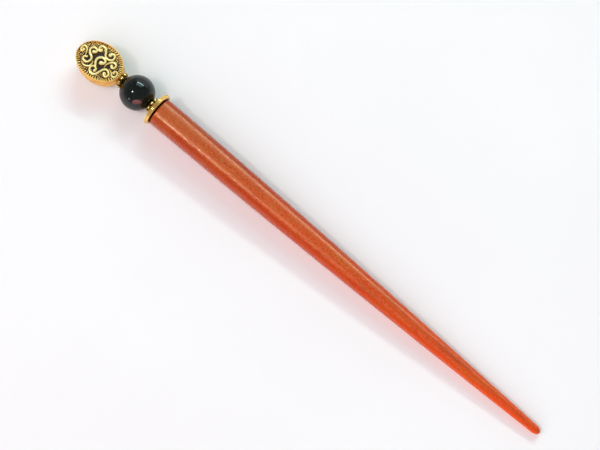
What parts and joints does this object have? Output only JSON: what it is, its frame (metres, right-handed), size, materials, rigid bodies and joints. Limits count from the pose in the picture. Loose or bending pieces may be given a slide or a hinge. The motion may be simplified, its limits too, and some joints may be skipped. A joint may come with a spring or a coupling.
{
  "type": "decorative hair pin",
  "caption": "Tapered round hair stick with a granulated, stone and scrollwork bead stack on a wire at its blunt end.",
  "frame": {"origin": "centre of the shaft's flat top end, on the pin's axis", "axes": "+X along the pin from the shaft's top to its tip, +Z out of the oval bead's front face, +Y across the oval bead's width"},
  "size_m": [0.1633, 0.0108, 0.01],
  "materials": {
    "resin": "satin, slightly translucent orange-red cast resin",
    "adhesive": "clear amber cured adhesive",
    "wire": "dull antique gold wire",
    "bright_gold": "polished gold plate",
    "antique_gold": "antique gold plate with dark patina in the recesses",
    "stone": "high polish, near-black green with a red patch"
  },
  "bodies": {
    "shaft_and_pin": {"shaft": "resin", "adhesive": "adhesive", "head_pin": "wire"},
    "collar": {"collar": "bright_gold"},
    "lower_spacer": {"lower_spacer": "antique_gold"},
    "stone_ball": {"stone_ball": "stone"},
    "upper_spacer": {"upper_spacer": "antique_gold"},
    "oval_bead": {"oval_bead": "antique_gold"}
  },
  "joints": [
    {"name": "collar_turn", "type": "hinge", "parent": "shaft_and_pin", "child": "collar", "pos_m": [-0.00103, 0, 0], "axis": [1, 0, 0], "continuous": true},
    {"name": "lower_spacer_turn", "type": "hinge", "parent": "shaft_and_pin", "child": "lower_spacer", "pos_m": [-0.0027, 0, 0], "axis": [1, 0, 0], "continuous": true},
    {"name": "stone_ball_turn", "type": "hinge", "parent": "shaft_and_pin", "child": "stone_ball", "pos_m": [-0.0082, 0, 0], "axis": [1, 0, 0], "continuous": true},
    {"name": "upper_spacer_turn", "type": "hinge", "parent": "shaft_and_pin", "child": "upper_spacer", "pos_m": [-0.0137, -0.00005, 0], "axis": [0.9954, 0.0958, 0], "continuous": true},
    {"name": "oval_bead_turn", "type": "hinge", "parent": "shaft_and_pin", "child": "oval_bead", "pos_m": [-0.02141, -0.00079, 0], "axis": [0.9954, 0.0958, 0], "continuous": true}
  ]
}
